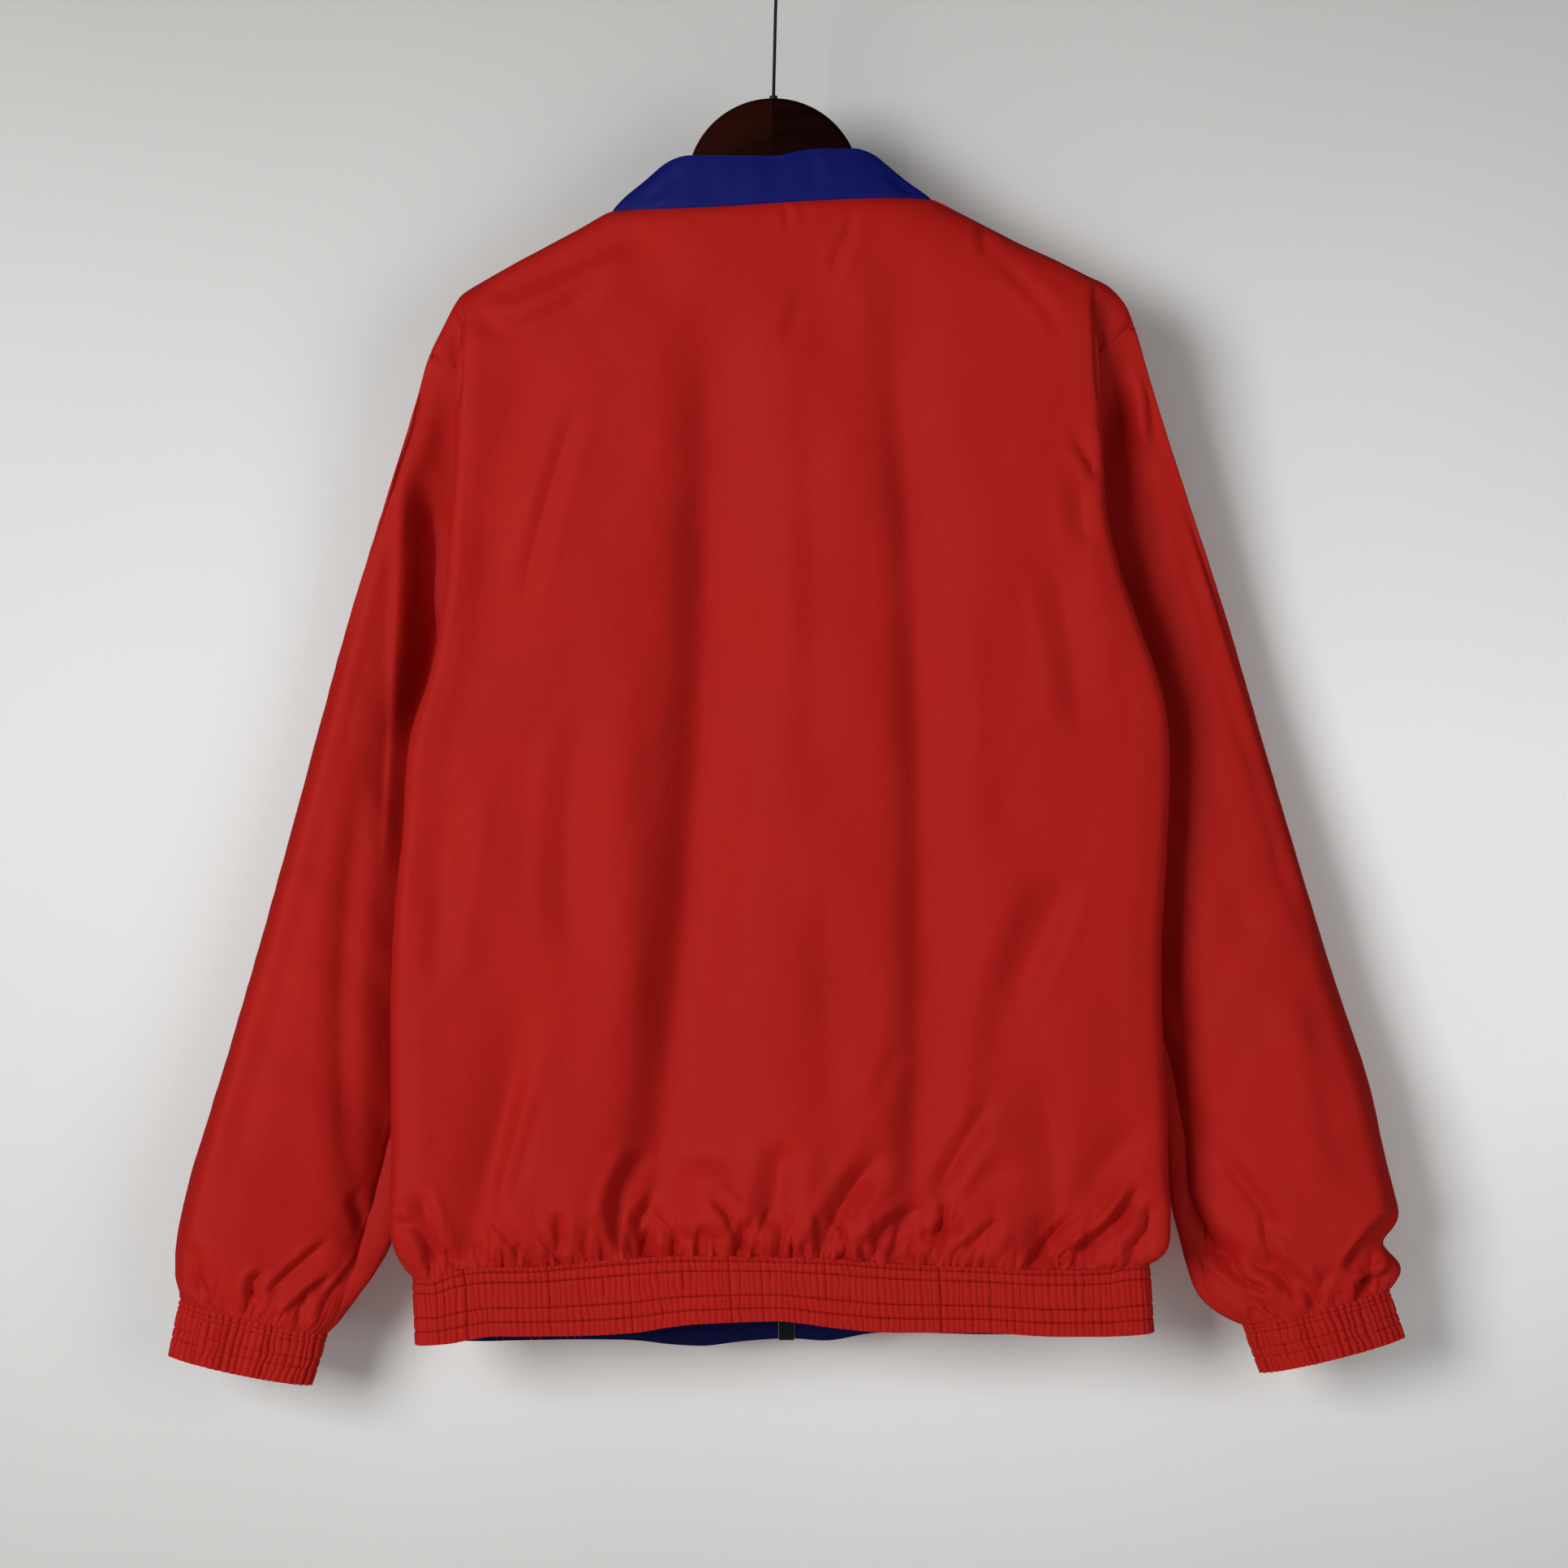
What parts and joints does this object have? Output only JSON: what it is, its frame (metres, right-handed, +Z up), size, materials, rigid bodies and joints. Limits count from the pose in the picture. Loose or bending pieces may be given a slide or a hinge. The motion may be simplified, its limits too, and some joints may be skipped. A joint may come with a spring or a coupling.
{
  "type": "windbreaker on a hanger",
  "caption": "Hip-length windbreaker with stand collar, long sleeves, elastic hem and cuffs and a front zip, hung on a wooden hanger with a wire hook.",
  "frame": {"origin": "inner top of the hanger's hook, where the rail carries it", "axes": "+Z up, +Y out of the wearer's chest, -Y out of the wearer's back, +X towards the wearer's right"},
  "size_m": [0.8052, 0.1028, 0.962],
  "materials": {
    "red_shell": "matt woven shell cloth, red",
    "blue_shell": "matt woven shell cloth, dark blue",
    "zip_black": "black tape and moulded chain",
    "zip_metal": "dark painted metal",
    "dark_wood": "glossy dark brown lacquer",
    "black_wire": "black wire"
  },
  "bodies": {
    "jacket": {"back": "red_shell", "front_left": "red_shell", "front_right": "red_shell", "sleeve_left": "red_shell", "sleeve_right": "red_shell", "collar": "blue_shell", "hem_band_back": "red_shell", "hem_band_front_left": "red_shell", "hem_band_front_right": "red_shell", "hem_facing_left": "blue_shell", "hem_facing_right": "blue_shell", "cuff_left": "red_shell", "cuff_right": "red_shell", "zip_chain": "zip_black", "zip_box": "zip_black", "zip_slider": "zip_metal", "hanger_wood": "dark_wood", "hanger_hook": "black_wire"},
    "pull_tab": {"zip_pull": "zip_metal"}
  },
  "joints": [
    {"name": "pull_hinge", "type": "hinge", "parent": "jacket", "child": "pull_tab", "pos_m": [0, 0.0467, -0.2411], "axis": [1, 0, 0], "range_deg": [0, 165]}
  ]
}
